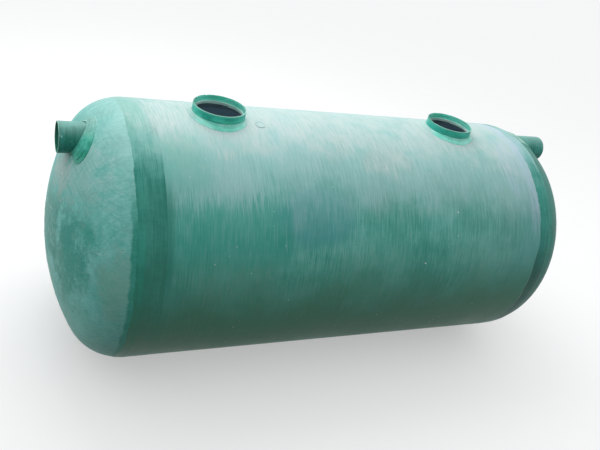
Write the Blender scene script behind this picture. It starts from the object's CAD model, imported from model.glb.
# Looks of the filament-wound septic tank: every surface finish, the laminate edges and the studio.
import math
import random

import bmesh
import bpy
import numpy as np
from mathutils import Matrix, Vector, noise


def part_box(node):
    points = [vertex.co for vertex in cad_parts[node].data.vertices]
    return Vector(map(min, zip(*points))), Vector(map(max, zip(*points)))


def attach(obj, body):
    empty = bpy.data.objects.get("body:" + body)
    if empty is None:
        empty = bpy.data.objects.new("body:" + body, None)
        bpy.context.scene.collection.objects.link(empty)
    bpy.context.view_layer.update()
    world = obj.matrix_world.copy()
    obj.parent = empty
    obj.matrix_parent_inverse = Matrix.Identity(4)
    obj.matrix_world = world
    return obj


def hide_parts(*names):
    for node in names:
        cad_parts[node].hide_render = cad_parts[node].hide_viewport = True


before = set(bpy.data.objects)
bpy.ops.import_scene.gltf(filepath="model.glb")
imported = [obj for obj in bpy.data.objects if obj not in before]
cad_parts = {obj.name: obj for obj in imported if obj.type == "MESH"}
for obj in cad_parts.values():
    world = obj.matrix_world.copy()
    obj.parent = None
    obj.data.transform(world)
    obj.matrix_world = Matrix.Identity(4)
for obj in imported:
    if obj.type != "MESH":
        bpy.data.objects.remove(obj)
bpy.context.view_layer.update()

# ---------------------------------------------------------------- sizes, in metres

MM = 0.001
UP = (0, 0, 1)
ALONG = (1, 0, 0)
SIDES = {"outlet": -1, "inlet": 1}
NECKS = (1, 2)

crown_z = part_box("crown_middle_strip")[1].z
barrel_r = crown_z / 2
half_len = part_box("barrel_bottom")[1].x
wall = 12 * MM

end_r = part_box("inlet_end")[1].y
end_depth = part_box("inlet_end")[1].x - half_len
knuckle_r = 476 * MM
knuckle_ring_r = end_r - knuckle_r
dish_r = (knuckle_ring_r**2 + end_depth**2 - knuckle_r**2) / (2 * (end_depth - knuckle_r))
dish_drop = dish_r - end_depth
knuckle_turn = math.atan2(dish_drop, knuckle_ring_r)

wrap_t = 4 * MM
wrap_low, wrap_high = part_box("inlet_joint_wrap")
wrap_on_barrel = half_len - wrap_low.x
wrap_on_end = wrap_high.x - half_len

ply_t = 4.5 * MM
lid_recess = 56 * MM
lid_ledge = 9 * MM
neck_t = 9 * MM
pipe_t = 10 * MM
saw_soft = 1.2 * MM  # how far a sawn edge is rounded


def neck_place(number):
    """Where a manhole neck's axis is along X, its radius and its top."""
    low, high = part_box(f"manhole_neck_{number}")
    return (low.x + high.x) / 2, (high.x - low.x) / 2, high.z


def pipe_place(side_name):
    """How high a pipe's axis is, its radius, and its mouth and tail along X."""
    low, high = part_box(f"{side_name}_pipe")
    mouth, tail = (low.x, high.x) if SIDES[side_name] < 0 else (high.x, low.x)
    return (low.z + high.z) / 2, (high.z - low.z) / 2, mouth, tail


def srgb(red, green, blue):
    """A paint colour, 0 to 255 as seen, as the linear colour that a shader takes."""
    linear = []
    for value in (red, green, blue):
        share = value / 255
        linear.append(share / 12.92 if share <= 0.04045 else ((share + 0.055) / 1.055) ** 2.4)
    return (*linear, 1.0)


# ---------------------------------------------------------------- meshes


def lumps(points, size, seed):
    """Smooth noise from -1 to 1 at each point, with lumps of about that size (x, y, z)."""
    shift = Vector((seed * 7.31, seed * 3.17, seed * 5.77))
    flat = points.reshape(-1, 3) / np.array(size)
    values = [noise.noise(Vector(p) + shift) for p in flat]
    return np.array(values).reshape(points.shape[:-1])


def dents(points, depth, size, seed):
    """How deep each point lies in smooth dents of about that size, from 0 to depth."""
    return depth * (1 + lumps(points, size, seed)) / 2


def full_turn(steps):
    """The angles of a full turn, in that many steps."""
    return np.arange(steps) * 2 * math.pi / steps


def ragged(steps, radius, coarse, fine, seed):
    """How far a torn edge strays at each step of a turn, in long waves (coarse) and short ones (fine)."""
    turn = full_turn(steps)
    ring = np.stack([np.cos(turn) * radius, np.sin(turn) * radius, turn * 0], -1)
    return (
        coarse * lumps(ring, (0.22, 0.22, 1), seed)
        + fine * lumps(ring, (0.06, 0.06, 1), seed + 1)
        + 0.6 * fine * lumps(ring, (0.025, 0.025, 1), seed + 2)
    )


def finish_mesh(name, mesh, materials, replaced=(), sharp=38):
    """Shades a mesh, makes it a piece that rides on the tank, and says which nodes it stands for.

    Edges that turn by more than sharp, in degrees, stay crisp."""
    tidy(mesh)
    mesh.shade_smooth()
    mesh.set_sharp_from_angle(angle=math.radians(sharp))
    for paint in materials:
        mesh.materials.append(paint)
    piece = bpy.data.objects.new(name, mesh)
    bpy.context.scene.collection.objects.link(piece)
    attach(piece, "root")
    if replaced:
        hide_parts(*replaced)
    return piece


def skin(name, rows):
    """A mesh over rows of points. Each row closes on itself, and the last row meets the first."""
    count, steps = rows.shape[:2]
    below = np.arange(count * steps).reshape(count, steps)
    above = np.roll(below, -1, axis=0)
    faces = np.stack([below, np.roll(below, -1, 1), np.roll(above, -1, 1), above], -1)
    mesh = bpy.data.meshes.new(name)
    mesh.from_pydata(rows.reshape(-1, 3).tolist(), [], faces.reshape(-1, 4).tolist())
    return tidy(mesh)


def tidy(mesh):
    """Joins points that fall together, such as those of a pole, and turns every face outwards."""
    shape = bmesh.new()
    shape.from_mesh(mesh)
    bmesh.ops.remove_doubles(shape, verts=shape.verts, dist=1e-6)
    bmesh.ops.recalc_face_normals(shape, faces=shape.faces)
    shape.to_mesh(mesh)
    shape.free()
    return mesh


def between(keys, steps):
    """Rows between each pair of key rows, with the given number of steps in each gap."""
    rows = []
    for low, high, count in zip(keys[:-1], keys[1:], steps):
        rows += [low + (high - low) * n / count for n in range(count)]
    return np.array(rows + [keys[-1]])


def cut(mesh, cutter):
    """The mesh less the cutter's solid."""
    body = bpy.data.objects.new("cut_body", mesh)
    tool = bpy.data.objects.new("cut_tool", cutter)
    for o in (body, tool):
        bpy.context.scene.collection.objects.link(o)
    step = body.modifiers.new("hole", "BOOLEAN")
    step.object, step.operation, step.solver = tool, "DIFFERENCE", "EXACT"
    bpy.context.view_layer.update()
    graph = bpy.context.evaluated_depsgraph_get()
    result = bpy.data.meshes.new_from_object(body.evaluated_get(graph), depsgraph=graph)
    for o in (body, tool):
        bpy.data.objects.remove(o)
    return result


def poured(name, shape):
    """The mesh of a shape, which is then let go."""
    mesh = bpy.data.meshes.new(name)
    shape.to_mesh(mesh)
    shape.free()
    return mesh


def turn_up(axis):
    """The turn that takes a shape's own Z to the axis."""
    return Vector(UP).rotation_difference(Vector(axis)).to_matrix().to_4x4()


def rod(centre, axis, radius, reach):
    """A cutting cylinder about centre, reach each way along the axis."""
    shape = bmesh.new()
    bmesh.ops.create_cone(
        shape, cap_ends=True, segments=96, radius1=radius, radius2=radius, depth=2 * reach,
        matrix=Matrix.Translation(centre) @ turn_up(axis),
    )
    return poured("rod", shape)


def add_dome(shape, rounds, radius, spot, turn, stretch):
    """Adds a stretched ball, sunk into the face at the spot, to a shape of resin drops."""
    place = Matrix.Translation(spot) @ turn @ Matrix.Diagonal((*stretch, 1))
    bmesh.ops.create_icosphere(shape, subdivisions=rounds, radius=radius, matrix=place)


# ---------------------------------------------------------------- the tank's faces


def on_barrel(x, turn, lift=0.0):
    """Points lift outside the barrel's face, at x and turned that far from the crown towards -Y."""
    radius = barrel_r + lift
    x, turn, radius = np.broadcast_arrays(x, turn, radius)
    return np.stack([x, -radius * np.sin(turn), barrel_r + radius * np.cos(turn)], -1)


def end_face(side, lean, turn, lift=0.0):
    """Points lift outside an end's face. Lean is its slope: 0 at the rim, a quarter turn at the apex."""
    lean, turn, lift = np.broadcast_arrays(lean, turn, lift)
    knuckle = lean < knuckle_turn
    out = np.where(knuckle, knuckle_r * np.sin(lean), dish_r * np.sin(lean) - dish_drop)
    radius = np.where(knuckle, knuckle_ring_r + knuckle_r * np.cos(lean), dish_r * np.cos(lean))
    out = out + lift * np.sin(lean)
    radius = radius + lift * np.cos(lean)
    return np.stack(
        [side * (half_len + out), -radius * np.sin(turn), barrel_r + radius * np.cos(turn)], -1
    )


def outward(rows, height):
    """Unit vectors straight out, at each point, from an axis along X at that height."""
    away = (rows - np.array([0, 0, height])) * np.array([0, 1, 1])
    return away / np.linalg.norm(away, axis=-1, keepdims=True)


def end_lean(radius):
    """The slope of an end's face at that distance from the barrel's axis."""
    radius = np.asarray(radius)
    on_knuckle = np.arccos(np.clip((radius - knuckle_ring_r) / knuckle_r, -1, 1))
    on_dish = np.arccos(np.clip(radius / dish_r, -1, 1))
    return np.where(on_knuckle < knuckle_turn, on_knuckle, on_dish)


# ---------------------------------------------------------------- shader building blocks


class Sheet:
    """Adds nodes to a material or a node group. Sockets given as inputs are linked, values are set."""

    def __init__(self, tree):
        self.tree = tree

    def add(self, kind, inputs=None, **settings):
        node = self.tree.nodes.new("ShaderNode" + kind)
        for key, value in settings.items():
            setattr(node, key, value)
        for key, value in (inputs or {}).items():
            if isinstance(value, bpy.types.NodeSocket):
                self.tree.links.new(value, node.inputs[key])
            else:
                node.inputs[key].default_value = value
        return node

    def math(self, operation, a, b=0.0):
        return self.add("Math", {0: a, 1: b}, operation=operation).outputs[0]

    def times(self, first, *others):
        for other in others:
            first = self.math("MULTIPLY", first, other)
        return first

    def plus(self, first, *others):
        for other in others:
            first = self.math("ADD", first, other)
        return first

    def total(self, *terms):
        """The sum of values, each times its share."""
        return self.plus(*[self.times(value, share) for value, share in terms])

    def stray(self, value, wave, amount):
        """The value moved by a wave of 0 to 1, by up to half the amount each way."""
        return self.plus(value, self.times(self.math("SUBTRACT", wave, 0.5), amount))

    def remap(self, value, low, high, to_low=0.0, to_high=1.0):
        inputs = {"Value": value, "From Min": low, "From Max": high, "To Min": to_low, "To Max": to_high}
        return self.add("MapRange", inputs, interpolation_type="SMOOTHSTEP").outputs[0]

    def band(self, value, low, low_full, high_full, high):
        """1 from low_full to high_full, fading to 0 at low and at high."""
        return self.times(self.remap(value, high, high_full), self.remap(value, low, low_full))

    def vector(self, operation, a, b):
        return self.add("VectorMath", {0: a, 1: b}, operation=operation).outputs[0]

    def rotate(self, vector, axis, angle):
        return self.add("VectorRotate", {"Vector": vector, "Axis": axis, "Angle": angle}).outputs[0]

    def parts(self, vector):
        """The X, Y and Z of a vector."""
        return self.add("SeparateXYZ", {0: vector}).outputs

    def mix(self, share, a, b):
        return self.add("Mix", {0: share, 6: a, 7: b}, data_type="RGBA").outputs[2]

    def ramp(self, value, stops):
        node = self.add("ValToRGB", {0: value})
        band = node.color_ramp
        while len(band.elements) < len(stops):
            band.elements.new(0.5)
        for element, (place, colour) in zip(band.elements, stops):
            element.position, element.color = place, colour
        return node.outputs[0]

    def noise(self, vector, scale, detail, rough):
        inputs = {"Vector": vector, "Scale": scale, "Detail": detail, "Roughness": rough}
        return self.add("TexNoise", inputs).outputs[0]

    def group(self, group, place, **inputs):
        """What a node group puts out at a place, with values for its named inputs."""
        return self.add("Group", {"Place": place, **inputs}, node_tree=group).outputs[0]


def new_group(name, output, **inputs):
    """A node group with one output. An input of None is a vector, and the others are numbers.

    Returns its sheet, its inputs, and a function that ends it with the output's value."""
    tree = bpy.data.node_groups.new(name, "ShaderNodeTree")
    for key, value in inputs.items():
        kind = "NodeSocketVector" if value is None else "NodeSocketFloat"
        socket = tree.interface.new_socket(key, in_out="INPUT", socket_type=kind)
        if value is not None:
            socket.default_value = value
    tree.interface.new_socket(output, in_out="OUTPUT", socket_type="NodeSocketFloat")
    start = tree.nodes.new("NodeGroupInput")
    last = tree.nodes.new("NodeGroupOutput")

    def end(value):
        tree.links.new(value, last.inputs[output])
        return tree

    return Sheet(tree), start.outputs, end


def strand_group():
    """Streaks of wound strands: noise drawn out round the barrel, by a strand's width and length."""
    sheet, given, end = new_group("wound_strands", "Streaks", Place=None, Width=0.01, Length=0.3)
    across = sheet.math("DIVIDE", 1.0, given["Width"])
    along = sheet.math("DIVIDE", 1.0, given["Length"])
    scale = sheet.add("CombineXYZ", {0: across, 1: along, 2: along}).outputs[0]
    streaks = sheet.noise(sheet.vector("MULTIPLY", given["Place"], scale), 1.0, 3.0, 0.6)
    return end(sheet.remap(streaks, 0.3, 0.7))


def crossed_group():
    """Crossed strands of laid cloth: two sets of streaks, each turned from the other about an axis."""
    sheet, given, end = new_group(
        "crossed_strands", "Strands", Place=None, Axis=None, Width=0.012, Length=0.2
    )
    across = sheet.math("DIVIDE", 1.0, given["Width"])
    along = sheet.math("DIVIDE", 1.0, given["Length"])
    scale = sheet.add("CombineXYZ", {0: along, 1: across, 2: along}).outputs[0]
    layers = []
    for degrees in (38, -47):
        turned = sheet.rotate(given["Place"], given["Axis"], math.radians(degrees))
        streaks = sheet.noise(sheet.vector("MULTIPLY", turned, scale), 1.0, 2.0, 0.55)
        layers.append(sheet.remap(streaks, 0.45, 0.72))
    return end(sheet.math("MAXIMUM", *layers))


def speck_group():
    """Small splashes of resin and white dust: sparse torn flecks of uneven size."""
    sheet, given, end = new_group(
        "resin_specks", "Specks", Place=None, Spacing=0.12, Size=0.005, Share=0.5
    )
    scale = sheet.math("DIVIDE", 1.0, given["Spacing"])
    stray = sheet.add("TexNoise", {"Vector": given["Place"], "Scale": 70.0, "Detail": 2.0}).outputs["Color"]
    stray = sheet.vector("SUBTRACT", stray, (0.5, 0.5, 0.5))
    stray = sheet.vector("MULTIPLY", stray, (0.03, 0.03, 0.03))
    place = sheet.vector("ADD", given["Place"], stray)
    cells = sheet.add("TexVoronoi", {"Vector": place, "Scale": scale}).outputs
    chosen = sheet.add("SeparateColor", {0: cells["Color"]}).outputs
    size = sheet.math("DIVIDE", given["Size"], given["Spacing"])
    size = sheet.times(size, sheet.plus(chosen[1], 0.4))
    dot = sheet.math("LESS_THAN", cells["Distance"], size)
    kept = sheet.math("LESS_THAN", chosen[0], given["Share"])
    return end(sheet.times(dot, kept))


def bloom_group():
    """Chalky weathering on the faces that look up, broken up by patches.

    Steady goes by the height on the tank instead, so that it passes over small edges."""
    sheet, given, end = new_group(
        "weather_bloom", "Bloom", Place=None, Start=0.35, Full=1.0, Patch=0.3, Steady=0.0
    )
    up = sheet.parts(sheet.add("NewGeometry").outputs["Normal"])[2]
    high = sheet.math("SUBTRACT", sheet.parts(given["Place"])[2], barrel_r)
    high = sheet.math("DIVIDE", high, barrel_r)
    turned = sheet.times(up, sheet.math("SUBTRACT", 1.0, given["Steady"]))
    up = sheet.plus(turned, sheet.times(high, given["Steady"]))
    patches = sheet.noise(given["Place"], sheet.math("DIVIDE", 1.0, given["Patch"]), 4.0, 0.55)
    return end(sheet.remap(sheet.stray(up, patches, 0.5), given["Start"], given["Full"]))


def blotch_group():
    """Soft blotches where the resin is richer or thinner, at a large and a small scale."""
    sheet, given, end = new_group("resin_blotches", "Blotches", Place=None, Size=0.4)
    scale = sheet.math("DIVIDE", 1.0, given["Size"])
    large = sheet.noise(given["Place"], scale, 2.0, 0.5)
    small = sheet.noise(given["Place"], sheet.times(scale, 5.0), 3.0, 0.6)
    return end(sheet.remap(sheet.total((large, 0.7), (small, 0.3)), 0.34, 0.66))


def patch_group():
    """One soft patch about a centre, of a given reach along each axis, with a torn outline."""
    sheet, given, end = new_group(
        "soft_patch", "Patch", Place=None, Centre=None, Reach=None, Torn=0.4, Soft=0.4
    )
    away = sheet.vector("SUBTRACT", given["Place"], given["Centre"])
    share = sheet.vector("DIVIDE", away, given["Reach"])
    far = sheet.add("VectorMath", {0: share}, operation="LENGTH").outputs["Value"]
    far = sheet.stray(far, sheet.noise(given["Place"], 6.0, 4.0, 0.6), given["Torn"])
    return end(sheet.remap(far, 1.0, sheet.math("SUBTRACT", 1.0, given["Soft"])))


def low_group():
    """Dirt and shade towards the underside, with an uneven upper edge."""
    sheet, given, end = new_group("low_dirt", "Dirt", Place=None, Start=1.9, Full=0.9)
    uneven = sheet.noise(given["Place"], 1.6, 3.0, 0.5)
    height = sheet.stray(sheet.parts(given["Place"])[2], uneven, 0.7)
    return end(sheet.remap(height, given["Start"], given["Full"]))


strands = strand_group()
crossed = crossed_group()
specks = speck_group()
bloom = bloom_group()
blotches = blotch_group()
patch = patch_group()
low_dirt = low_group()


def new_material(name):
    """A material with its sheet and the place of each point in the tank's frame."""
    material = bpy.data.materials.new(name)
    material.use_nodes = True
    material.node_tree.nodes.clear()
    sheet = Sheet(material.node_tree)
    place = sheet.add("TexCoord").outputs["Object"]
    return material, sheet, place


RESIN_GLOSS = 0.17
RESIN_DEPTH = (8 * MM, 16 * MM, 14 * MM)  # how far red, green and blue light pass into the wall


def resin_shader(sheet, colour, rough, height, bump, depth=2 * MM, glow=0.0, through=1.0):
    """Ends a material in the satin resin that all the laminate has.

    Glow is the share of light that passes into the wall, and through how far it gets."""
    normal = sheet.add("Bump", {"Strength": bump, "Distance": depth, "Height": height}).outputs[0]
    surface = sheet.add("BsdfPrincipled", {"Base Color": colour, "Roughness": rough, "Normal": normal})
    surface.inputs["Specular IOR Level"].default_value = RESIN_GLOSS
    surface.inputs["Subsurface Weight"].default_value = glow
    surface.inputs["Subsurface Radius"].default_value = RESIN_DEPTH
    surface.inputs["Subsurface Scale"].default_value = through
    sheet.add("OutputMaterial", {"Surface": surface.outputs[0]})
    return surface


# ---------------------------------------------------------------- finishes

DEEP = srgb(62, 152, 136)
PLAIN = srgb(94, 180, 166)
LIGHT = srgb(132, 204, 194)
PALE = srgb(164, 202, 202)
CHALK = srgb(200, 210, 208)
LILAC = srgb(178, 202, 220)
BLUISH = srgb(86, 168, 168)
RICH = srgb(52, 162, 146)
OLIVE = srgb(74, 136, 110)
MOSS = srgb(28, 84, 72)
DUST = srgb(226, 238, 234)
DAMP = srgb(52, 136, 122)
DULL = srgb(182, 192, 192)
GREY = srgb(152, 204, 196)
DUSTY = srgb(130, 188, 172)
PINKISH = srgb(202, 212, 212)
RUN_TONES = [(0.2, srgb(36, 140, 122)), (0.8, srgb(64, 168, 150))]


def combed(sheet, mask, streaks, amount):
    """The mask with streaks pulled out across its soft edge."""
    return sheet.remap(sheet.stray(mask, streaks, amount), 0.12, 0.88)


def wet_strip(sheet, place, streaks):
    """Where richer resin ran along the front shoulder, between the outlet joint and the first neck."""
    x, y, z = sheet.parts(place)
    level = sheet.plus(sheet.stray(z, streaks, 0.17), sheet.times(sheet.noise(place, 2.2, 3.0, 0.6), 0.24))
    upright = sheet.band(level, 1.62, 1.86, 2.1, 2.3)
    return sheet.times(upright, sheet.band(x, -2.1, -1.82, -0.94, -0.84), sheet.remap(y, -0.5, -0.7))


def dry_strip(sheet, place, medium, streaks):
    """Dry pale strands beside the inlet joint, high on the barrel, and a torn patch by the second neck."""
    x, _, z = sheet.parts(place)
    seam = half_len - 60 * MM
    dry = combed(sheet, sheet.remap(x, seam - 0.22, seam - 0.02), streaks, 0.5)
    dry = sheet.times(dry, sheet.remap(streaks, 0.25, 0.75, 0.25, 0.8), sheet.remap(z, 1.7, 2.15))
    far = sheet.group(patch, place, Centre=(1.86, -0.5, 2.3), Reach=(0.2, 0.5, 0.3), Torn=0.6)
    far = sheet.times(combed(sheet, far, medium, 0.7), sheet.remap(medium, 0.35, 0.8, 0.1, 0.5))
    return sheet.math("MAXIMUM", dry, far)


def damp_seam(sheet, place, fine):
    """A damp edge beside the outlet joint, weaker towards the crown and the underside."""
    x, _, z = sheet.parts(place)
    seam = wrap_on_barrel - half_len
    damp = combed(sheet, sheet.remap(x, seam + 0.11, seam), fine, 0.5)
    return sheet.times(damp, 0.75, sheet.remap(z, 2.3, 2.12), sheet.remap(z, 1.2, 1.7, 0.3, 1.0))


def wound_colour(sheet, place):
    """Wound barrel: fine strands round it, blotches of resin, and a chalky crown.

    Gives its colour, its tone and the height of its strands."""
    x, _, z = sheet.parts(place)
    fine = sheet.group(strands, place, Width=0.005, Length=0.16)
    medium = sheet.group(strands, place, Width=0.013, Length=0.24)
    broad = sheet.group(strands, place, Width=0.1, Length=0.8)
    blotch = sheet.group(blotches, place, Size=0.8)
    tone = sheet.total((fine, 0.36), (medium, 0.17), (broad, 0.11), (blotch, 0.36))
    streaks = sheet.times(sheet.plus(fine, medium), 0.5)
    colour = sheet.ramp(tone, [(0.15, DEEP), (0.5, PLAIN), (0.85, LIGHT)])
    blue = sheet.group(patch, place, Centre=(-0.62, -1.0, 2.0), Reach=(0.5, 0.5, 0.3))
    haze = sheet.remap(sheet.noise(place, 0.9, 1.0, 0.4), 0.54, 0.68, 0.0, 0.34)
    colour = sheet.mix(sheet.math("MAXIMUM", sheet.times(blue, 0.7), haze), colour, BLUISH)
    faded = sheet.times(sheet.remap(x, 0.6, 1.7, 0.0, 0.16), sheet.remap(z, 1.2, 1.7))
    colour = sheet.mix(faded, colour, PALE)
    wet = wet_strip(sheet, place, streaks)
    colour = sheet.mix(sheet.times(wet, 0.5), colour, RICH)
    low = combed(sheet, sheet.group(low_dirt, place, Start=2.12, Full=0.6), streaks, 0.24)
    colour = sheet.mix(sheet.times(low, 0.9), colour, OLIVE)
    pale = combed(sheet, sheet.group(bloom, place, Start=0.38, Full=0.95, Patch=0.5), streaks, 0.18)
    pale = sheet.times(pale, sheet.remap(tone, 0.2, 0.8, 0.58, 0.76), sheet.remap(wet, 0.0, 1.0, 1.0, 0.3))
    colour = sheet.mix(pale, colour, PALE)
    chalk = combed(sheet, sheet.group(bloom, place, Start=0.7, Full=1.16, Patch=0.35), streaks, 0.2)
    colour = sheet.mix(sheet.times(chalk, sheet.remap(fine, 0.2, 0.8, 0.38, 0.8)), colour, CHALK)
    colour = sheet.mix(dry_strip(sheet, place, medium, streaks), colour, LILAC)
    colour = sheet.mix(damp_seam(sheet, place, fine), colour, DAMP)
    rich = sheet.group(patch, place, Centre=(-1.9, -0.62, 2.3), Reach=(0.55, 0.5, 0.42), Soft=0.9)
    colour = sheet.mix(sheet.times(rich, 0.6), colour, PLAIN)
    dots = sheet.group(specks, place, Spacing=0.12, Size=0.005, Share=0.3)
    colour = sheet.mix(dots, colour, DUST)
    return colour, tone, sheet.total((fine, 0.6), (medium, 0.8))


def wound_finish():
    """Finish of the wound barrel."""
    material, sheet, place = new_material("wound_resin")
    colour, tone, height = wound_colour(sheet, place)
    resin_shader(sheet, colour, sheet.remap(tone, 0.1, 0.9, 0.36, 0.5), height, 0.25)
    return material


def end_finish(name, low, high, chalky, dusty, dark, dark_at, patches=()):
    """Hand-laid end: crossed strands under the resin, blotches, grey dust and a few patches.

    Dark_at is where the dark of the underside starts, where it is full, and its share. Each patch
    is its centre, its reach along each axis, its colour and its share."""
    material, sheet, place = new_material(name)
    x, _, z = sheet.parts(place)
    cloth = sheet.group(crossed, place, Axis=ALONG, Width=0.01, Length=0.16)
    slanted = sheet.rotate(place, ALONG, 0.75)
    weave = sheet.group(crossed, slanted, Axis=ALONG, Width=0.016, Length=0.42)
    blotch = sheet.group(blotches, place, Size=0.34)
    grain = sheet.remap(sheet.noise(place, 42.0, 4.0, 0.7), 0.3, 0.7)
    speckle = sheet.remap(sheet.noise(place, 13.0, 4.0, 0.75), 0.34, 0.66)
    tone = sheet.total((blotch, 0.36), (grain, 0.3), (speckle, 0.22), (cloth, 0.12))
    colour = sheet.ramp(tone, [(0.1, low), (0.9, high)])
    for centre, reach, tint, share in patches:
        mask = sheet.group(patch, place, Centre=centre, Reach=reach, Torn=1.2, Soft=0.95)
        colour = sheet.mix(sheet.times(combed(sheet, mask, speckle, 0.45), share), colour, tint)
    thin = sheet.remap(sheet.noise(place, 1.9, 2.0, 0.5), 0.42, 0.6, 0.12, 0.42)
    colour = sheet.mix(sheet.times(cloth, thin, dusty), colour, GREY)
    upper = sheet.remap(z, 1.3, 2.1, 0.1, 0.7)
    colour = sheet.mix(sheet.times(weave, upper, dusty), colour, low)
    dust = sheet.remap(sheet.noise(place, 2.6, 3.0, 0.6), 0.52, 0.7, 0.0, 0.22)
    colour = sheet.mix(sheet.times(dust, dusty), colour, GREY)
    chalk = sheet.group(bloom, place, Start=0.3, Full=1.15, Patch=0.25)
    colour = sheet.mix(sheet.times(chalk, chalky), colour, DULL)
    reach = sheet.math("SUBTRACT", sheet.math("ABSOLUTE", x), half_len)
    reach = sheet.plus(reach, sheet.times(sheet.noise(place, 9.0, 3.0, 0.6), 0.06))
    run = sheet.times(sheet.remap(z, 2.3, 1.85, 0.0, 0.85), sheet.remap(reach, 0.175, 0.15))
    colour = sheet.mix(run, colour, sheet.ramp(tone, RUN_TONES))
    start, full, share = dark_at
    under = sheet.group(low_dirt, place, Start=start, Full=full)
    colour = sheet.mix(sheet.times(under, share), colour, dark)
    dots = sheet.group(specks, place, Spacing=0.09, Size=0.0045, Share=0.4)
    colour = sheet.mix(dots, colour, DUST)
    height = sheet.total((cloth, 0.7), (grain, 0.4), (weave, 0.5))
    resin_shader(sheet, colour, sheet.remap(tone, 0.1, 0.9, 0.42, 0.56), height, 0.4)
    return material


def wrap_finish(name, low, high, dark, dark_at, worn_at, green):
    """Joint wrap: resin-rich cloth, which towards the crown weathers to the barrel's own look.

    Green is the share of the run of resin along the end's rim."""
    material, sheet, place = new_material(name)
    x, _, z = sheet.parts(place)
    fine = sheet.group(strands, place, Width=0.008, Length=0.25)
    wide = sheet.group(strands, place, Width=0.04, Length=0.6)
    cloth = sheet.group(crossed, place, Axis=ALONG, Width=0.008, Length=0.06)
    blotch = sheet.group(blotches, place, Size=0.3)
    tone = sheet.total((fine, 0.3), (wide, 0.25), (cloth, 0.12), (blotch, 0.33))
    colour = sheet.ramp(tone, [(0.15, low), (0.8, high)])
    reach = sheet.math("ABSOLUTE", x)
    reach = sheet.plus(reach, sheet.times(sheet.noise(place, 7.0, 3.0, 0.6), 0.05))
    run = sheet.remap(reach, half_len + 0.03, half_len + 0.07, 0.0, green)
    run = sheet.times(run, sheet.remap(z, 2.1, 1.65, 0.3, 1.0))
    colour = sheet.mix(run, colour, sheet.ramp(tone, RUN_TONES))
    start, full = dark_at
    under = sheet.group(low_dirt, place, Start=start, Full=full)
    colour = sheet.mix(sheet.times(under, 0.75), colour, dark)
    worn = sheet.group(bloom, place, Start=worn_at, Full=worn_at + 0.4, Patch=0.45, Steady=1.0)
    worn = combed(sheet, worn, sheet.times(sheet.plus(fine, wide), 0.5), 0.18)
    crown, _, _ = wound_colour(sheet, place)
    inboard = half_len - wrap_on_barrel
    thick = sheet.remap(tone, 0.7, 0.2, 0.25, 0.65)
    thick = sheet.times(thick, sheet.remap(reach, inboard + 0.02, inboard + 0.13))
    crown = sheet.mix(thick, crown, PLAIN)
    colour = sheet.mix(sheet.times(worn, 0.95), colour, crown)
    dots = sheet.group(specks, place, Spacing=0.12, Size=0.004, Share=0.4)
    colour = sheet.mix(dots, colour, DUST)
    height = sheet.plus(fine, sheet.times(cloth, 0.5))
    resin_shader(sheet, colour, sheet.remap(tone, 0.1, 0.9, 0.3, 0.46), height, 0.3)
    return material


def ply_finish(name, low, high, edge, axis, chalky, rich=None):
    """Laid plies round a neck or a pipe: mottled cloth with glassy strands in the resin.

    Rich is the centre, reach and two colours of a patch where the resin lies thick."""
    material, sheet, place = new_material(name)
    cloth = sheet.group(crossed, place, Axis=axis, Width=0.006, Length=0.09)
    blotch = sheet.group(blotches, place, Size=0.12)
    grain = sheet.noise(place, 110.0, 3.0, 0.6)
    tone = sheet.total((blotch, 0.65), (grain, 0.35))
    colour = sheet.ramp(tone, [(0.2, low), (0.8, high)])
    colour = sheet.mix(sheet.times(cloth, 0.3), colour, edge)
    chalk = sheet.group(bloom, place, Start=0.5, Full=1.15, Patch=0.1, Steady=0.6)
    colour = sheet.mix(sheet.times(chalk, chalky), colour, CHALK)
    if rich:
        centre, reach, dark, bright = rich
        mask = sheet.group(patch, place, Centre=centre, Reach=reach, Torn=0.3)
        colour = sheet.mix(mask, colour, sheet.ramp(tone, [(0.2, dark), (0.8, bright)]))
    height = sheet.plus(cloth, sheet.times(grain, 0.7))
    resin_shader(sheet, colour, sheet.remap(tone, 0.1, 0.9, 0.28, 0.45), height, 0.4, 1.2 * MM, 0.15)
    return material


def moulded_finish(name, low, high, axis_scale, splash, chalky, glow, through=1.0):
    """Necks and pipes: laminate wound round a former, with faint rings and splashes."""
    material, sheet, place = new_material(name)
    rings = sheet.noise(sheet.vector("MULTIPLY", place, axis_scale), 1.0, 3.0, 0.6)
    rings = sheet.remap(rings, 0.3, 0.7)
    blotch = sheet.group(blotches, place, Size=0.2)
    tone = sheet.total((rings, 0.5), (blotch, 0.5))
    colour = sheet.ramp(tone, [(0.15, low), (0.85, high)])
    dots = sheet.group(specks, place, Spacing=0.05, Size=0.0035, Share=splash)
    colour = sheet.mix(dots, colour, DUST)
    chalk = sheet.group(bloom, place, Start=0.3, Full=1.0, Patch=0.15)
    colour = sheet.mix(sheet.times(chalk, chalky), colour, CHALK)
    rough = sheet.remap(tone, 0.1, 0.9, 0.28, 0.42)
    resin_shader(sheet, colour, rough, rings, 0.25, 1 * MM, glow, through)
    return material


def edge_finish():
    """Sawn laminate: pale glass showing through the green, soiled at the back of the necks' rims."""
    material, sheet, place = new_material("sawn_edge")
    glass = sheet.noise(place, 160.0, 4.0, 0.7)
    colour = sheet.ramp(glass, [(0.3, srgb(116, 190, 170)), (0.7, srgb(188, 226, 212))])
    _, y, z = sheet.parts(place)
    soiled = sheet.times(sheet.remap(y, -0.08, 0.06), sheet.remap(z, 2.52, 2.54), 0.8)
    colour = sheet.mix(soiled, colour, srgb(84, 144, 128))
    resin_shader(sheet, colour, 0.6, glass, 0.5, 0.8 * MM)
    return material


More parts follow.
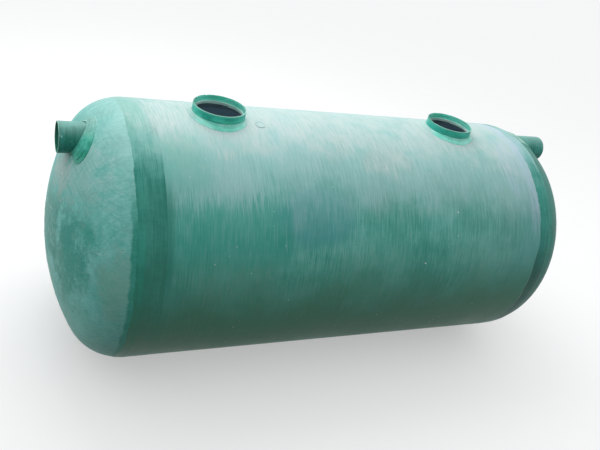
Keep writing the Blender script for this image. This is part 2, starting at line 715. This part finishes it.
def inside_finish():
    """Inner face: thick dull resin, with the little daylight that comes through the shell."""
    material, sheet, place = new_material("inner_resin")
    blotch = sheet.group(blotches, place, Size=0.5)
    colour = sheet.ramp(blotch, [(0.1, srgb(112, 128, 146)), (0.9, srgb(142, 162, 172))])
    surface = resin_shader(sheet, colour, sheet.remap(blotch, 0.0, 1.0, 0.4, 0.6), blotch, 0.3, 3 * MM)
    through = sheet.ramp(blotch, [(0.1, srgb(34, 46, 54)), (0.9, srgb(42, 56, 62))])
    sheet.tree.links.new(through, surface.inputs["Emission Color"])
    surface.inputs["Emission Strength"].default_value = 0.8
    return material


def glass_finish(name, low, high):
    """Bare glass strands and dried drops of resin."""
    material, sheet, place = new_material(name)
    grain = sheet.noise(place, 240.0, 3.0, 0.6)
    resin_shader(sheet, sheet.ramp(grain, [(0.3, low), (0.7, high)]), 0.4, grain, 0.3, 0.5 * MM)
    return material


def boss_finish():
    """Boss: the barrel's chalky resin, with dirt held inside the rim."""
    material, sheet, place = new_material("boss_resin")
    low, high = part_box("vent_boss")
    centre, radius = tuple((low + high) / 2), (high.x - low.x) / 2
    away = sheet.add("VectorMath", {0: place, 1: centre}, operation="DISTANCE").outputs["Value"]
    grain = sheet.noise(place, 90.0, 3.0, 0.6)
    colour = sheet.ramp(grain, [(0.3, srgb(164, 200, 196)), (0.7, srgb(190, 210, 210))])
    groove = sheet.band(away, radius - 13 * MM, radius - 10 * MM, radius - 9 * MM, radius - 6 * MM)
    worn = sheet.remap(sheet.noise(place, 14.0, 2.0, 0.5), 0.4, 0.6, 0.15, 0.8)
    colour = sheet.mix(sheet.times(groove, worn), colour, srgb(112, 138, 136))
    resin_shader(sheet, colour, 0.5, grain, 0.3, 1 * MM)
    return material



wound_resin = wound_finish()
inner_resin = inside_finish()
sawn_edge = edge_finish()
boss_resin = boss_finish()
outlet_patches = (
    ((-2.62, -0.62, 1.38), (0.6, 0.62, 0.8), srgb(36, 152, 136), 0.9),
    ((-2.8, -0.1, 1.4), (0.5, 0.6, 0.6), srgb(40, 144, 128), 0.7),
    ((-2.4, -1.16, 1.45), (0.4, 0.28, 0.66), DUSTY, 0.65),
    ((-2.78, 0.02, 1.9), (0.4, 0.46, 0.34), PINKISH, 0.75),
    ((-2.62, -0.42, 2.06), (0.5, 0.6, 0.46), srgb(182, 216, 212), 0.5),
)
end_resin = {
    "outlet": end_finish(
        "outlet_end_resin", srgb(78, 182, 170), srgb(150, 226, 220), 0.42, 0.75,
        OLIVE, (1.2, 0.2, 0.35), outlet_patches,
    ),
    "inlet": end_finish(
        "inlet_end_resin", srgb(34, 120, 106), srgb(68, 150, 138), 0.1, 0.15,
        MOSS, (2.0, 1.2, 0.6),
    ),
}
outlet_wrap = wrap_finish(
    "outlet_wrap_resin", srgb(42, 126, 112), srgb(72, 156, 142), OLIVE, (1.9, 0.7), 0.63, 0.9
)
inlet_wrap = wrap_finish(
    "inlet_wrap_resin", srgb(42, 136, 122), srgb(72, 164, 152), MOSS, (2.0, 1.35), 0.7, 0.2
)
wrap_plies = {"outlet": [outlet_wrap, outlet_wrap], "inlet": [wound_resin, inlet_wrap]}
neck_resin = moulded_finish(
    "neck_resin", srgb(54, 168, 154), srgb(90, 204, 190), (6, 6, 90), 0.3, 0.0, 0.8, 1.4
)
bore_resin = moulded_finish(
    "neck_bore_resin", srgb(108, 188, 176), srgb(138, 210, 200), (6, 6, 90), 0.3, 0.0, 1.0, 1.6
)
throat_resin = moulded_finish(
    "throat_resin", srgb(158, 204, 194), srgb(200, 226, 220), (8, 8, 60), 0.6, 0.2, 0.3
)
shade_resin = moulded_finish(
    "shade_resin", srgb(66, 82, 94), srgb(86, 106, 112), (8, 8, 60), 0.2, 0.0, 0.0
)
pipe_resin = moulded_finish(
    "pipe_resin", srgb(38, 128, 114), srgb(76, 166, 154), (90, 6, 6), 0.4, 0.16, 0.1
)
pipe_bore_resin = moulded_finish(
    "pipe_bore_resin", srgb(46, 136, 114), srgb(72, 160, 138), (40, 6, 6), 0.3, 0.0, 0.3
)
neck_plies = {}
for number in NECKS:
    x, radius, _ = neck_place(number)
    front = (x - 0.12 * radius, -0.75 * radius, crown_z)
    neck_plies[number] = ply_finish(
        f"neck_{number}_collar_resin", srgb(134, 196, 186), srgb(172, 214, 208), PALE, UP, 0.5,
        (front, (1.25 * radius, radius, 0.4), srgb(130, 230, 210), srgb(174, 246, 232)),
    )
outlet_plies = ply_finish(
    "outlet_collar_resin", srgb(84, 170, 156), srgb(124, 200, 188), srgb(160, 208, 198), ALONG, 0.3,
    ((-2.55, -0.26, 2.14), (0.5, 0.26, 0.24), srgb(38, 154, 130), srgb(98, 204, 182)),
)
inlet_plies = ply_finish(
    "inlet_collar_resin", srgb(60, 158, 138), srgb(104, 190, 172), srgb(150, 206, 194), ALONG, 0.4
)
pipe_plies = {"outlet": outlet_plies, "inlet": inlet_plies}
strand_glass = glass_finish("strand_glass", srgb(164, 204, 196), srgb(226, 238, 234))
dull_glass = glass_finish("dull_glass", srgb(70, 148, 136), srgb(118, 184, 172))
drop_resin = glass_finish("drop_resin", srgb(170, 208, 198), srgb(232, 240, 238))
drip_resin = glass_finish("drip_resin", srgb(122, 190, 178), srgb(180, 220, 212))


# ---------------------------------------------------------------- wound barrel

BARREL_TURNS = 320
BARREL_STEPS = 190
INNER_STEPS = 24
BARREL_CLEAR = 0.25 * MM  # keeps the wound face inside the solid one


def wound_shell():
    """Barrel and crown in one winding, with its two manhole openings."""
    turn = full_turn(BARREL_TURNS)
    face_end = half_len - wrap_on_barrel
    rebate = end_r - barrel_r
    stations = np.linspace(-face_end, face_end, BARREL_STEPS)
    face = on_barrel(stations[:, None], turn[None, :])
    sway = dents(face, 1.4 * MM, (0.5, 1.6, 1.6), 3)
    band = dents(face, 0.9 * MM, (0.07, 1.1, 1.1), 5)
    flush = np.clip((face_end - np.abs(stations)) / 0.12, 0, 1)[:, None]
    face = on_barrel(stations[:, None], turn[None, :], -(sway + band) * flush - BARREL_CLEAR)
    keys = [(-half_len, rebate), (-half_len + 0.5 * wrap_on_barrel, rebate), (-face_end, rebate)]
    near = [on_barrel(x, turn, lift) for x, lift in keys]
    far = [on_barrel(-x, turn, lift) for x, lift in reversed(keys)]
    inner = [on_barrel(x, turn, -wall) for x in np.linspace(half_len, -half_len, INNER_STEPS)]
    mesh = skin("wound_shell", np.array([*near, *face, *far, *inner]))
    for number in NECKS:
        x, radius, _ = neck_place(number)
        throat = radius - neck_t - lid_ledge
        mesh = cut(mesh, rod((x, 0, crown_z), UP, throat + 4 * MM, 0.3))
    replaced = [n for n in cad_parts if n.startswith(("barrel_", "crown_"))]
    piece = finish_mesh("wound_shell", mesh, [wound_resin, inner_resin], replaced)
    paint_inside(piece, lambda p: math.hypot(p.y, p.z - barrel_r) < barrel_r - wall + 1 * MM)


def paint_inside(piece, is_inside, index=1):
    """Gives the faces whose middle passes the test the piece's other material."""
    for face in piece.data.polygons:
        if is_inside(face.center):
            face.material_index = index


# ---------------------------------------------------------------- dished ends

END_TURNS = 256
KNUCKLE_STEPS = 34
DISH_STEPS = 46


def dished_end(side_name):
    """One hand-laid end, uneven by a few millimetres, with the hole for its pipe."""
    side = SIDES[side_name]
    turn = full_turn(END_TURNS)
    lean = np.concatenate([
        np.linspace(0, knuckle_turn, KNUCKLE_STEPS, endpoint=False),
        np.linspace(knuckle_turn, math.pi / 2, DISH_STEPS),
    ])
    face = end_face(side, lean[:, None], turn[None, :])
    seed = 11 if side < 0 else 17
    sink = dents(face, 1.6 * MM, (0.3, 0.3, 0.3), seed)
    sink += dents(face, 1.0 * MM, (0.07, 0.07, 0.07), seed + 1)
    sink *= np.clip(lean / 0.1, 0, 1)[:, None]
    outer = end_face(side, lean[:, None], turn[None, :], -sink)
    inner = end_face(side, lean[::-2, None], turn[None, :], -wall)
    mesh = skin(f"{side_name}_end_shell", np.concatenate([outer, inner]))
    rise, radius, _, _ = pipe_place(side_name)
    mesh = cut(mesh, rod((side * half_len, 0, rise), ALONG, radius - pipe_t / 2, 1.2))
    piece = finish_mesh(
        f"{side_name}_end_shell", mesh, [end_resin[side_name], inner_resin],
        [f"{side_name}_end"],
    )

    def inside(p):
        """Whether a face lies deeper in the shell than its outer skin."""
        slope = float(end_lean(math.hypot(p.y, p.z - barrel_r)))
        face_x = end_face(1, slope, 0.0)[0]
        return (abs(p.x) - face_x) * math.sin(slope) < -wall + 2 * MM

    paint_inside(piece, inside)


# ---------------------------------------------------------------- joint wraps

WRAP_TURNS = 720
UPPER_REACH = {"outlet": 30 * MM, "inlet": -60 * MM}
FEATHER = {"outlet": 38 * MM, "inlet": 10 * MM}


def joint_face(side, reach, turn, lift):
    """Points on the joint, at a distance along the laminate from the end's rim, below 0 on the barrel."""
    points = end_face(side, np.maximum(reach, 0) / knuckle_r, turn, lift)
    points[..., 0] += side * np.minimum(reach, 0)
    return points


def joint_wrap(side_name):
    """Cloth laid over the joint in two plies, cut straight on the barrel and torn where it ends.

    Over the crown the torn edges are feathered out with resin."""
    side = SIDES[side_name]
    seed = 23 if side < 0 else 31
    turn = full_turn(WRAP_TURNS)
    full = knuckle_r * math.asin(wrap_on_end / knuckle_r)
    lower = full - 14 * MM - ragged(WRAP_TURNS, end_r, 10 * MM, 7 * MM, seed)
    upper = UPPER_REACH[side_name] - ragged(WRAP_TURNS, end_r, 24 * MM, 7 * MM, seed + 5)
    crown = np.clip((np.cos(turn) - 0.78) / 0.14, 0, 1)
    lip = 6 * MM + FEATHER[side_name] * crown
    upper = np.minimum(upper, lower - lip - 2 * MM)
    bed, half = -0.6 * MM, wrap_t / 2

    def laid(reach, lift):
        return np.stack([reach + 0 * turn, lift + 0 * turn], -1)

    keys = [
        laid(-wrap_on_barrel, bed),
        laid(-wrap_on_barrel, wrap_t),
        laid(upper - lip, wrap_t),
        laid(upper, half),
        laid(lower - lip, half),
        laid(lower, bed),
        laid(lower * 0.5, bed),
        laid(0.0, bed),
    ]
    steps = [1, 14, 2, 10, 2, 3, 3]
    rows = between(keys, steps)
    rows = np.concatenate([rows, between([rows[-1], rows[0]], [4])[1:-1]])
    rows = joint_face(side, rows[..., 0], turn[None, :], rows[..., 1])
    wrinkle = dents(rows, 0.5 * MM, (0.03, 0.2, 0.2), seed + 9)
    mesh = skin(f"{side_name}_wrap_cloth", rows - outward(rows, barrel_r) * wrinkle[..., None])
    upper_ply = steps[0] + steps[1] + 1  # its rows come first, and the rest are the lower ply's
    for face in mesh.polygons[upper_ply * WRAP_TURNS :]:
        face.material_index = 1
    finish_mesh(
        f"{side_name}_wrap_cloth", mesh, wrap_plies[side_name],
        [f"{side_name}_joint_wrap"], 50,
    )


# ---------------------------------------------------------------- manhole necks

NECK_TURNS = 288


def neck_face(x, radius, turn, lift):
    """Points on the barrel's face, on a ring about a neck's axis, lifted outwards."""
    radius, turn, lift = np.broadcast_arrays(radius, turn, lift)
    across = radius * np.sin(turn)
    roll = np.arcsin(across / barrel_r)
    return on_barrel(x + radius * np.cos(turn), roll, lift)


def chips(turn, seed):
    """How far small chips cut into a sawn rim, at each step of its turn."""
    draw = random.Random(seed)
    depth = 0 * turn
    for _ in range(7):
        middle, half = draw.uniform(-math.pi, math.pi), draw.uniform(0.015, 0.04)
        away = np.abs((turn - middle + math.pi) % (2 * math.pi) - math.pi)
        depth = np.maximum(depth, draw.uniform(2, 5) * MM * np.clip(1.4 - away / half, 0, 1))
    return depth


def manhole_neck(number):
    """Neck with a sawn rim, a recess for the lid, and a lower bore that runs through the crown."""
    x, radius, top = neck_place(number)
    bore, throat = radius - neck_t, radius - neck_t - lid_ledge
    turn = full_turn(NECK_TURNS)
    seed = 40 + 5 * number
    oval = 1 + 0.004 * np.sin(2 * turn + number)
    saw = 1.6 * MM * (1 + ragged(NECK_TURNS, radius, 0.6, 0.5, seed)) / 2
    saw = saw + chips(turn, seed)

    def ring(r, z):
        return np.stack([x + r * oval * np.cos(turn), -r * oval * np.sin(turn), z + 0 * turn], -1)

    keys = [
        neck_face(x, radius * oval, turn, -wall),
        neck_face(x, radius * oval, turn, 0.0),
        ring(radius, top - saw - 3 * saw_soft),
        ring(radius - 0.3 * saw_soft, top - saw - saw_soft),
        ring(radius - 1.3 * saw_soft, top - saw),
        ring(bore + saw_soft, top - saw),
        ring(bore, top - saw - saw_soft),
        ring(bore, top - lid_recess + saw_soft),
        ring(bore - 1.5 * saw_soft, top - lid_recess),
        ring(throat + saw_soft, top - lid_recess),
        ring(throat, top - lid_recess - saw_soft),
        neck_face(x, throat * oval, turn, -wall),
    ]
    rows = between(keys, [1, 12, 1, 1, 3, 1, 8, 1, 2, 1, 8])
    rough = 0.8 * MM * lumps(rows, (0.12, 0.12, 0.05), seed)
    rows[..., :2] *= 1 + rough[..., None] / max(abs(x), 1)
    mesh = skin(f"manhole_{number}_neck_wall", rows)
    piece = finish_mesh(
        f"manhole_{number}_neck_wall", mesh, [neck_resin, sawn_edge, throat_resin, bore_resin, shade_resin],
        [f"manhole_neck_{number}"],
    )
    middle, rim = radius - neck_t / 2, top - 4.5 * MM
    ledge, damp = top - lid_recess + 2 * MM, crown_z + 8 * MM
    paint_inside(piece, lambda p: math.hypot(p.x - x, p.y) < middle, 3)
    paint_inside(piece, lambda p: p.z > rim, 1)
    paint_inside(piece, lambda p: p.z < ledge and math.hypot(p.x - x, p.y) < bore - 0.5 * MM, 2)
    paint_inside(piece, lambda p: p.z < damp, 4)


# ---------------------------------------------------------------- laid collars

COLLAR_TURNS = 288
PLIES = 3


def lay_collar(name, face, up, stem_r, widths, heel, climb, spread, seed, material, replaced):
    """Plies laid round a stem, each shorter than the one below, with torn edges and a fillet.

    face(radius, lift) gives rows on the surface the collar lies on, up is the stem's direction,
    widths the reach of each ply at each step of the turn, heel the width of the fillet, and climb
    its height up the stem. The cut edge at its top is sawn."""
    along = np.array(up)
    lip, blunt, sunk = 3 * MM, 3 * MM, 1.5 * MM
    keys, steps = [face(stem_r + widths[0] + lip, -sunk)], []
    for layer, width in enumerate(widths):
        keys.append(face(stem_r + width, (layer + 1) * ply_t))
        steps.append(2)
        above = widths[layer + 1] + lip if layer + 1 < len(widths) else heel
        keys.append(face(stem_r + above, (layer + 1) * ply_t))
        steps.append(4)
    thick = len(widths) * ply_t
    for share, out in ((0.22, 0.6), (0.55, 0.3), (0.85, 0.1), (1.0, 0.0)):
        keys.append(face(stem_r + blunt + out * (heel - blunt), thick) + along * (climb * share)[..., None])
        steps.append(2)
    keys.append(face(stem_r - sunk, thick) + along * (climb - 1 * MM)[..., None])
    keys.append(face(stem_r - sunk, -sunk))
    steps += [2, 2]
    rows = between(keys, steps)
    top_edge = (sum(steps) - 4) * len(climb)
    sway = spread * lumps(rows, (0.05, 0.05, 0.05), seed)
    mesh = skin(name, rows + along * sway[..., None])
    for edge in mesh.polygons[top_edge : top_edge + 2 * len(climb)]:
        edge.material_index = 1
    finish_mesh(name, mesh, [material, sawn_edge], replaced, 32)


def manhole_collar(number):
    """Collar that saddles the barrel round a neck."""
    x, radius, _ = neck_place(number)
    wide = (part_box(f"manhole_collar_{number}")[1].x - x) - radius
    turn = full_turn(COLLAR_TURNS)
    seed = 60 + 9 * number
    torn = [ragged(COLLAR_TURNS, radius, 9 * MM, 5 * MM, seed + n) for n in range(PLIES)]
    lean = 0.72 - 0.24 * np.cos(turn + math.radians(30))
    widths = [wide * share * lean + torn[n] for n, share in enumerate((0.95, 0.66, 0.4))]
    top = crown_z + 17 * MM + 0.35 * ragged(COLLAR_TURNS, radius, 6 * MM, 5 * MM, seed + 4)

    def face(r, lift):
        return neck_face(x, r, turn, lift)

    heel = PLIES * ply_t + 0 * turn
    climb = top - face(radius, PLIES * ply_t)[:, 2]
    lay_collar(
        f"manhole_{number}_collar_plies", face, UP, radius, widths, heel, climb, 0.7 * MM,
        seed, neck_plies[number], [f"manhole_collar_{number}"],
    )


def pipe_collar(side_name):
    """Collar on the dished end round a pipe, kept clear of the joint wrap.

    The outlet's has a tongue of cloth towards the front, and is trimmed close below it."""
    side = SIDES[side_name]
    axis_z, radius, _, _ = pipe_place(side_name)
    rise = axis_z - barrel_r
    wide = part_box(f"{side_name}_pipe_collar")[1].y - radius
    turn = full_turn(COLLAR_TURNS)
    seed = 90 if side < 0 else 99
    limit_r = knuckle_ring_r + math.sqrt(knuckle_r**2 - (wrap_on_end + 4 * MM) ** 2)
    lift_up = rise * np.cos(turn)
    room = -lift_up + np.sqrt(lift_up**2 + limit_r**2 - rise**2) - radius - 4 * MM
    torn = [ragged(COLLAR_TURNS, radius, 7 * MM, 5 * MM, seed + n) for n in range(PLIES)]
    front = 0.95 + 0.35 * np.sin(turn)
    widths = [wide * share * front + torn[n] for n, share in enumerate((0.7, 0.52, 0.33))]
    if side < 0:
        tongue_at, trim_from, trim_to = map(math.radians, (94, 121, 250))
        swing = (turn - tongue_at) / np.where(turn < tongue_at, 0.62, 0.6)
        tongue = 122 * MM * np.exp(-(swing**2))
        widths = [w + share * tongue for w, share in zip(widths, (1.0, 0.72, 0.4))]
        below = 1 / (1 + np.exp((trim_from - turn) / 0.05))
        below /= 1 + np.exp((turn - trim_to) / 0.2)
        widths = [w * (1 - 0.85 * below) for w in widths]
    widths = [np.minimum(w, room * (1 - 0.2 * n)) for n, w in enumerate(widths)]
    widths = [np.maximum(w, (20 - 6 * n) * MM) for n, w in enumerate(widths)]
    heel = np.minimum(11 * MM * front, widths[2] - 2.5 * MM)
    climb = 6 * MM * front + 0.25 * ragged(COLLAR_TURNS, radius, 8 * MM, 5 * MM, seed + 4)

    def face(r, lift):
        across, height = r * np.sin(turn), rise + r * np.cos(turn)
        lean = end_lean(np.hypot(across, height))
        return end_face(side, lean, np.arctan2(across, height), lift)

    lay_collar(
        f"{side_name}_pipe_collar_plies", face, (side, 0, 0), radius, widths, heel, climb, 0.8 * MM,
        seed, pipe_plies[side_name], [f"{side_name}_pipe_collar"],
    )


# ---------------------------------------------------------------- pipes

PIPE_TURNS = 144


def pipe_stub(side_name):
    """Stub with a sawn mouth, slightly uneven along its length."""
    side = SIDES[side_name]
    rise, radius, mouth, tail = pipe_place(side_name)
    turn = full_turn(PIPE_TURNS)
    seed = 120 if side < 0 else 130
    saw = 1.5 * MM * (1 + ragged(PIPE_TURNS, radius, 0.6, 0.5, seed)) / 2
    bore = radius - pipe_t

    def ring(r, back):
        return np.stack([mouth - side * back + 0 * turn, -r * np.sin(turn), rise + r * np.cos(turn)], -1)

    length = abs(mouth - tail)
    keys = [
        ring(radius, length),
        ring(radius, saw + 3 * saw_soft),
        ring(radius - 0.3 * saw_soft, saw + saw_soft),
        ring(radius - 1.3 * saw_soft, saw),
        ring(bore + saw_soft, saw),
        ring(bore, saw + saw_soft),
        ring(bore, length),
    ]
    rows = between(keys, [30, 1, 1, 3, 1, 24])
    rough = 0.7 * MM * (lumps(rows, (0.2, 0.08, 0.08), seed) - 1) / 2
    mesh = skin(f"{side_name}_pipe_stub", rows + outward(rows, rise) * rough[..., None])
    piece = finish_mesh(
        f"{side_name}_pipe_stub", mesh, [pipe_resin, sawn_edge, pipe_bore_resin],
        [f"{side_name}_pipe"],
    )
    lip = abs(mouth) - 4 * MM
    paint_inside(piece, lambda p: math.hypot(p.y, p.z - rise) < bore + 1.5 * MM, 2)
    paint_inside(piece, lambda p: abs(p.x) > lip, 1)


# ---------------------------------------------------------------- vent boss

BOSS_TURNS = 96


def vent_boss():
    """Low round pad with a raised rim, bedded in resin on the barrel."""
    low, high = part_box("vent_boss")
    x, radius = (low.x + high.x) / 2, (high.x - low.x) / 2
    middle_y, middle_z = (low.y + high.y) / 2, (low.z + high.z) / 2 - barrel_r
    lean = math.atan2(-middle_y, middle_z)
    turn = full_turn(BOSS_TURNS)
    worn = 1 + 0.04 * ragged(BOSS_TURNS, radius, 1.0, 0.6, 140)
    rim, height = 8 * MM, 3.5 * MM

    def ring(r, lift):
        return on_barrel(x + r * worn * np.cos(turn), lean + r * worn * np.sin(turn) / barrel_r, lift)

    keys = [
        ring(radius, -2 * MM),
        ring(radius, 0.6 * height),
        ring(radius - 2 * MM, height),
        ring(radius - rim + 2 * MM, height),
        ring(radius - rim, 0.45 * height),
        ring(radius * 0.4, 0.4 * height),
        ring(0.0, 0.42 * height),
        ring(0.0, -2 * MM),
    ]
    mesh = skin("vent_boss_pad", between(keys, [2, 1, 2, 2, 4, 3, 1]))
    finish_mesh("vent_boss_pad", mesh, [boss_resin], ["vent_boss"], 60)


# ---------------------------------------------------------------- stray strands and drops


STRAND_POINTS = 7


def strand_lines(name, paths, width, material):
    """Thin raised strands along paths of points on the tank, as one mesh."""
    verts, faces = [], []
    for points, normals in paths:
        start = len(verts)
        for n, (p, up) in enumerate(zip(points, normals)):
            ahead = points[min(n + 1, len(points) - 1)] - points[max(n - 1, 0)]
            across = ahead.cross(up).normalized() * width
            taper = 0.35 + 0.65 * math.sin(math.pi * n / (len(points) - 1))
            across, deep = across * taper, up * width
            verts += [p - across - deep, p + deep * 0.7 * taper, p + across - deep]
        for n in range(len(points) - 1):
            a = start + 3 * n
            for k in range(3):
                b = (k + 1) % 3
                faces.append((a + k, a + b, a + 3 + b, a + 3 + k))
        faces.append((start, start + 1, start + 2))
        last = len(verts) - 3
        faces.append((last + 2, last + 1, last))
    mesh = bpy.data.meshes.new(name)
    mesh.from_pydata([tuple(v) for v in verts], [], faces)
    finish_mesh(name, mesh, [material], sharp=80)


def end_strands(side_name, count, seed, material):
    """Loose glass strands caught in the resin of an end."""
    side, draw = SIDES[side_name], random.Random(seed)
    paths = []
    for _ in range(count):
        radius, angle = draw.uniform(0.15, 1.15), draw.uniform(-math.pi, math.pi)
        heading, bend = draw.uniform(0, 2 * math.pi), draw.uniform(-9, 9)
        step = draw.uniform(0.025, 0.09) / (STRAND_POINTS - 1)
        across, height = radius * math.sin(angle), radius * math.cos(angle)
        points, normals = [], []
        for _ in range(STRAND_POINTS):
            slope = float(end_lean(min(math.hypot(across, height), end_r - 0.02)))
            roll = math.atan2(across, height)
            points.append(Vector(end_face(side, slope, roll, -0.6 * MM)))
            normals.append(
                Vector((side * math.tan(slope), -math.sin(roll), math.cos(roll))).normalized()
            )
            across += step * math.cos(heading)
            height += step * math.sin(heading)
            heading += step * bend
        paths.append((points, normals))
    strand_lines(f"{side_name}_end_strands", paths, 2.0 * MM, material)


def barrel_drops(count, seed):
    """Dried drops of resin on the barrel, as flat domes, clear of the necks and its widest line."""
    draw = random.Random(seed)
    neck_centres = [neck_place(number)[0] for number in NECKS]
    shape = bmesh.new()
    for _ in range(count):
        x = draw.uniform(-half_len + wrap_on_barrel, half_len - wrap_on_barrel)
        roll = draw.uniform(-math.pi, math.pi)
        size = draw.uniform(2.5, 6.5) * MM
        widest, underneath = abs(math.sin(roll)) > 0.985, math.cos(roll) < -0.9
        by_neck = math.cos(roll) > 0.9 and min(abs(x - c) for c in neck_centres) < 0.35
        if widest or underneath or by_neck:
            continue
        spot = Vector(on_barrel(x, roll, -1.8 * MM))
        up = Vector((0, -math.sin(roll), math.cos(roll)))
        stretch = (draw.uniform(0.6, 1.2), draw.uniform(0.8, 2.4), 0.4)
        add_dome(shape, 2, size, spot, turn_up(up), stretch)
    name = "barrel_resin_drops"
    finish_mesh(name, poured(name, shape), [drop_resin], sharp=80)


def pipe_drips(side_name, count, seed):
    """Runs of pale resin on a pipe, just behind its mouth."""
    side, draw = SIDES[side_name], random.Random(seed)
    rise, radius, mouth, _ = pipe_place(side_name)
    bed = radius - 2.2 * MM
    shape = bmesh.new()
    for _ in range(count):
        x = mouth - side * draw.uniform(10, 34) * MM
        roll = math.radians(draw.uniform(50, 70))
        wide, long = draw.uniform(3, 5) * MM, draw.uniform(8, 16) * MM
        spot = (x, -bed * math.sin(roll), rise + bed * math.cos(roll))
        add_dome(shape, 3, 1, spot, Matrix.Rotation(roll, 4, "X"), (wide, long, 3 * MM))
    name = f"{side_name}_pipe_drips"
    finish_mesh(name, poured(name, shape), [drip_resin], sharp=80)


wound_shell()
for name in SIDES:
    dished_end(name)
    joint_wrap(name)
    pipe_stub(name)
    pipe_collar(name)
for number in NECKS:
    manhole_neck(number)
    manhole_collar(number)
vent_boss()
end_strands("outlet", 70, 7, strand_glass)
end_strands("inlet", 40, 8, dull_glass)
barrel_drops(90, 9)
pipe_drips("outlet", 3, 12)
pipe_drips("inlet", 3, 13)


# ---------------------------------------------------------------- studio

SKY = (0.0, 0.553, 0.833)
WHITE = (1.0, 1.0, 1.0, 1.0)


def seen_plainly(sheet):
    """1 for rays from the camera, in gloss or through glass, and 0 for the light that falls about."""
    rays = sheet.add("LightPath").outputs
    seen = sheet.math("MAXIMUM", rays["Is Camera Ray"], rays["Is Glossy Ray"])
    return sheet.math("MAXIMUM", seen, rays["Is Transmission Ray"])


def studio_world():
    """Soft light from above and behind the tank, and a white backdrop."""
    world = bpy.data.worlds.new("studio")
    bpy.context.scene.world = world
    world.use_nodes = True
    world.node_tree.nodes.clear()
    sheet = Sheet(world.node_tree)
    way = sheet.add("TexCoord").outputs["Generated"]
    height = sheet.add("VectorMath", {0: way, 1: SKY}, operation="DOT_PRODUCT").outputs["Value"]
    light = sheet.ramp(
        sheet.remap(height, -0.35, 0.45), [(0.0, (0.07, 0.07, 0.07, 1)), (1.0, (1.0, 1.01, 1.02, 1))]
    )
    colour = sheet.mix(seen_plainly(sheet), light, WHITE)
    backdrop = sheet.add("Background", {"Color": colour, "Strength": 1.0})
    sheet.add("OutputWorld", {"Surface": backdrop.outputs[0]})


def studio_floor():
    """Wide white floor that keeps the shadow and throws little light back up."""
    material, sheet, place = new_material("studio_floor")
    grain = sheet.noise(place, 3.0, 2.0, 0.5)
    white = sheet.ramp(grain, [(0.0, (0.95, 0.95, 0.95, 1)), (1.0, (0.98, 0.98, 0.98, 1))])
    seen = seen_plainly(sheet)
    colour = sheet.mix(seen, (0.10, 0.10, 0.09, 1), white)
    surface = sheet.add("BsdfDiffuse", {"Color": colour})
    plain = sheet.add("Emission", {"Color": WHITE, "Strength": 1.0})
    share = sheet.times(seen, 0.42)
    surface = sheet.add("MixShader", {0: share, 1: surface.outputs[0], 2: plain.outputs[0]})
    sheet.add("OutputMaterial", {"Surface": surface.outputs[0]})
    shape = bmesh.new()
    bmesh.ops.create_circle(shape, cap_ends=True, segments=96, radius=90)
    mesh = poured("studio_floor", shape)
    mesh.materials.append(material)
    floor = bpy.data.objects.new("studio_floor", mesh)
    floor.location.z = -0.5 * MM
    bpy.context.scene.collection.objects.link(floor)


def softbox(name, place, target, size, power):
    """A square area lamp that looks at the target."""
    lamp = bpy.data.lights.new(name, "AREA")
    lamp.size, lamp.energy = size, power
    holder = bpy.data.objects.new(name, lamp)
    holder.location = place
    holder.rotation_euler = (Vector(target) - Vector(place)).to_track_quat("-Z", "Y").to_euler()
    bpy.context.scene.collection.objects.link(holder)


def studio_camera():
    """Camera at the front left of the tank, above it, looking down along the barrel."""
    forward = Vector((0.448, 0.745, -0.495)).normalized()
    level = Vector((0.894, -0.373, 0.248)).normalized()
    above = level.cross(forward)
    roll = math.radians(-0.59)
    right = level * math.cos(roll) + above * math.sin(roll)
    up = above * math.cos(roll) - level * math.sin(roll)
    lens = bpy.data.cameras.new("camera")
    lens.lens, lens.sensor_width = 40.75, 36.0
    lens.clip_end = 300
    camera = bpy.data.objects.new("camera", lens)
    turn = Matrix((right, up, -forward)).transposed().to_4x4()
    camera.matrix_world = Matrix.Translation((-3.550, -5.585, 4.960)) @ turn
    bpy.context.scene.collection.objects.link(camera)
    bpy.context.scene.camera = camera


studio_world()
studio_floor()
softbox("overhead_softbox", place=(-1.0, 3.6, 7.5), target=(0, 0, 1.6), size=6.0, power=260)
studio_camera()
bpy.context.scene.view_settings.view_transform = "Standard"
